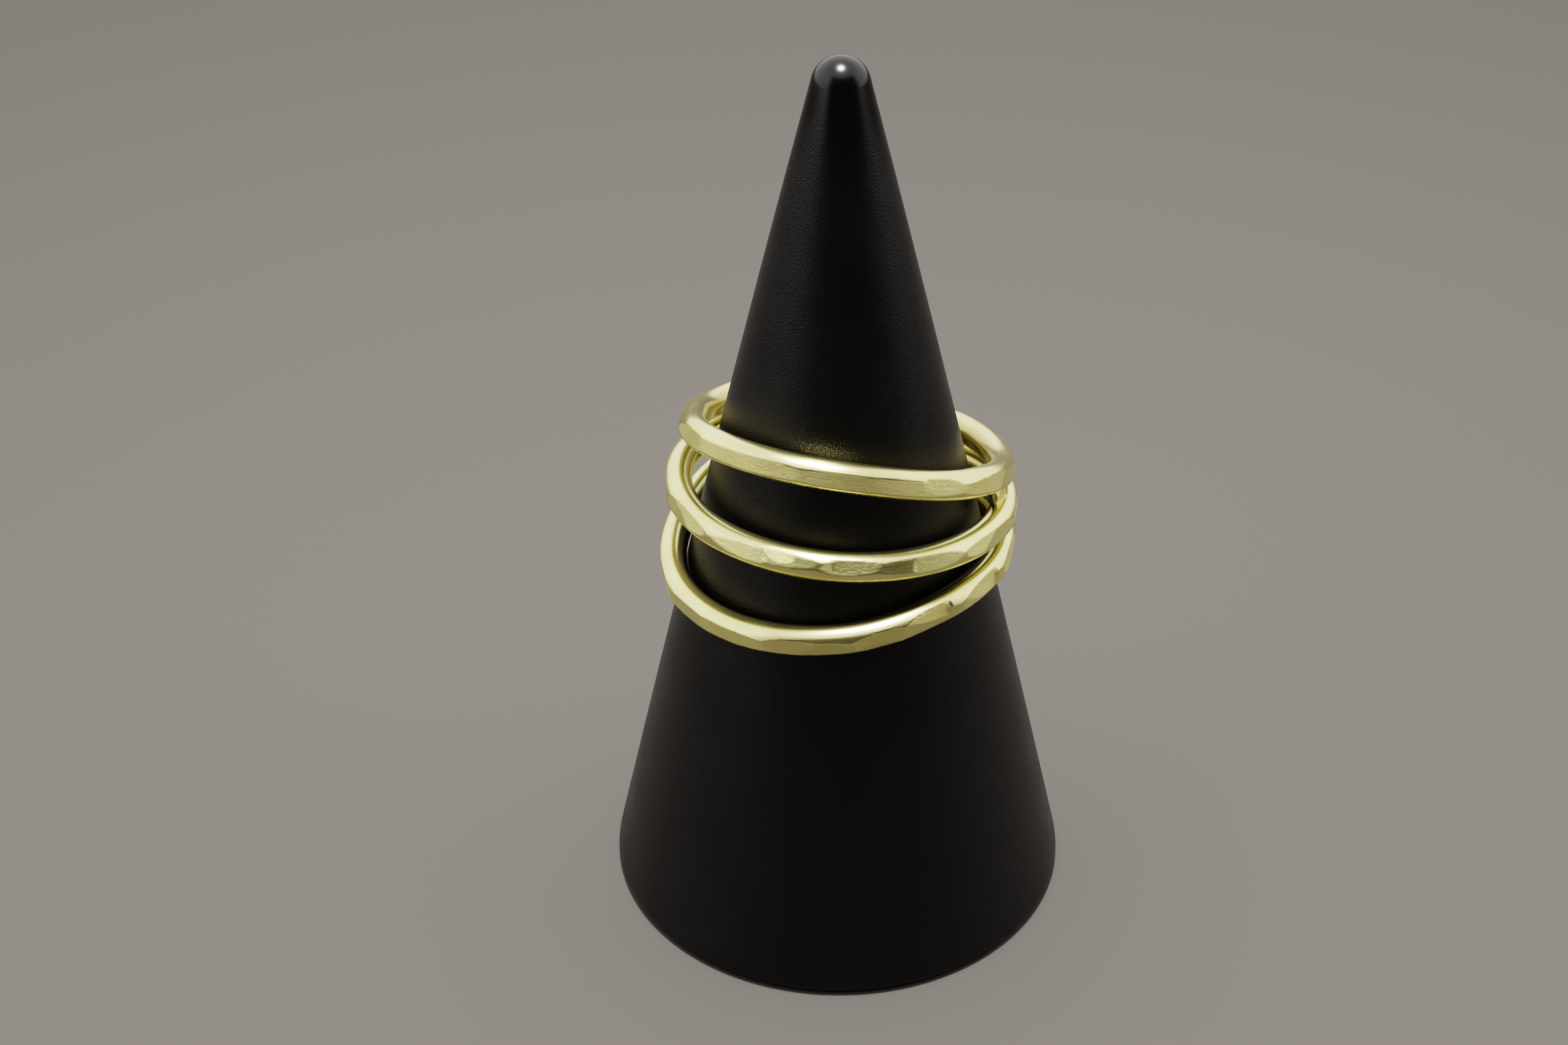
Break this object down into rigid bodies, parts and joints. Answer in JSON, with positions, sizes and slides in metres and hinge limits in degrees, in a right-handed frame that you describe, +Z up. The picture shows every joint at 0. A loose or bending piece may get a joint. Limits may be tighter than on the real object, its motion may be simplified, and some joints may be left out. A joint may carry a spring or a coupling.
{
  "type": "wrap ring on ring cone stand",
  "caption": "Hammered brass wire ring, its wound strands fanned out at the front and soldered side by side behind, resting on a black lacquered ring cone.",
  "frame": {"origin": "centre of the cone's flat foot, on the surface it stands on", "axes": "+Z up along the cone's axis; -Y towards the front, where the ring's strands fan out; +X to the right as seen from the front"},
  "size_m": [0.0264, 0.0264, 0.0508],
  "materials": {
    "hammered_brass": "hammered and satin brushed",
    "black_lacquered_wood": "black satin lacquer, glossier at the tip"
  },
  "bodies": {
    "root": {"wrap_ring": "hammered_brass", "display_cone": "black_lacquered_wood"}
  },
  "joints": []
}
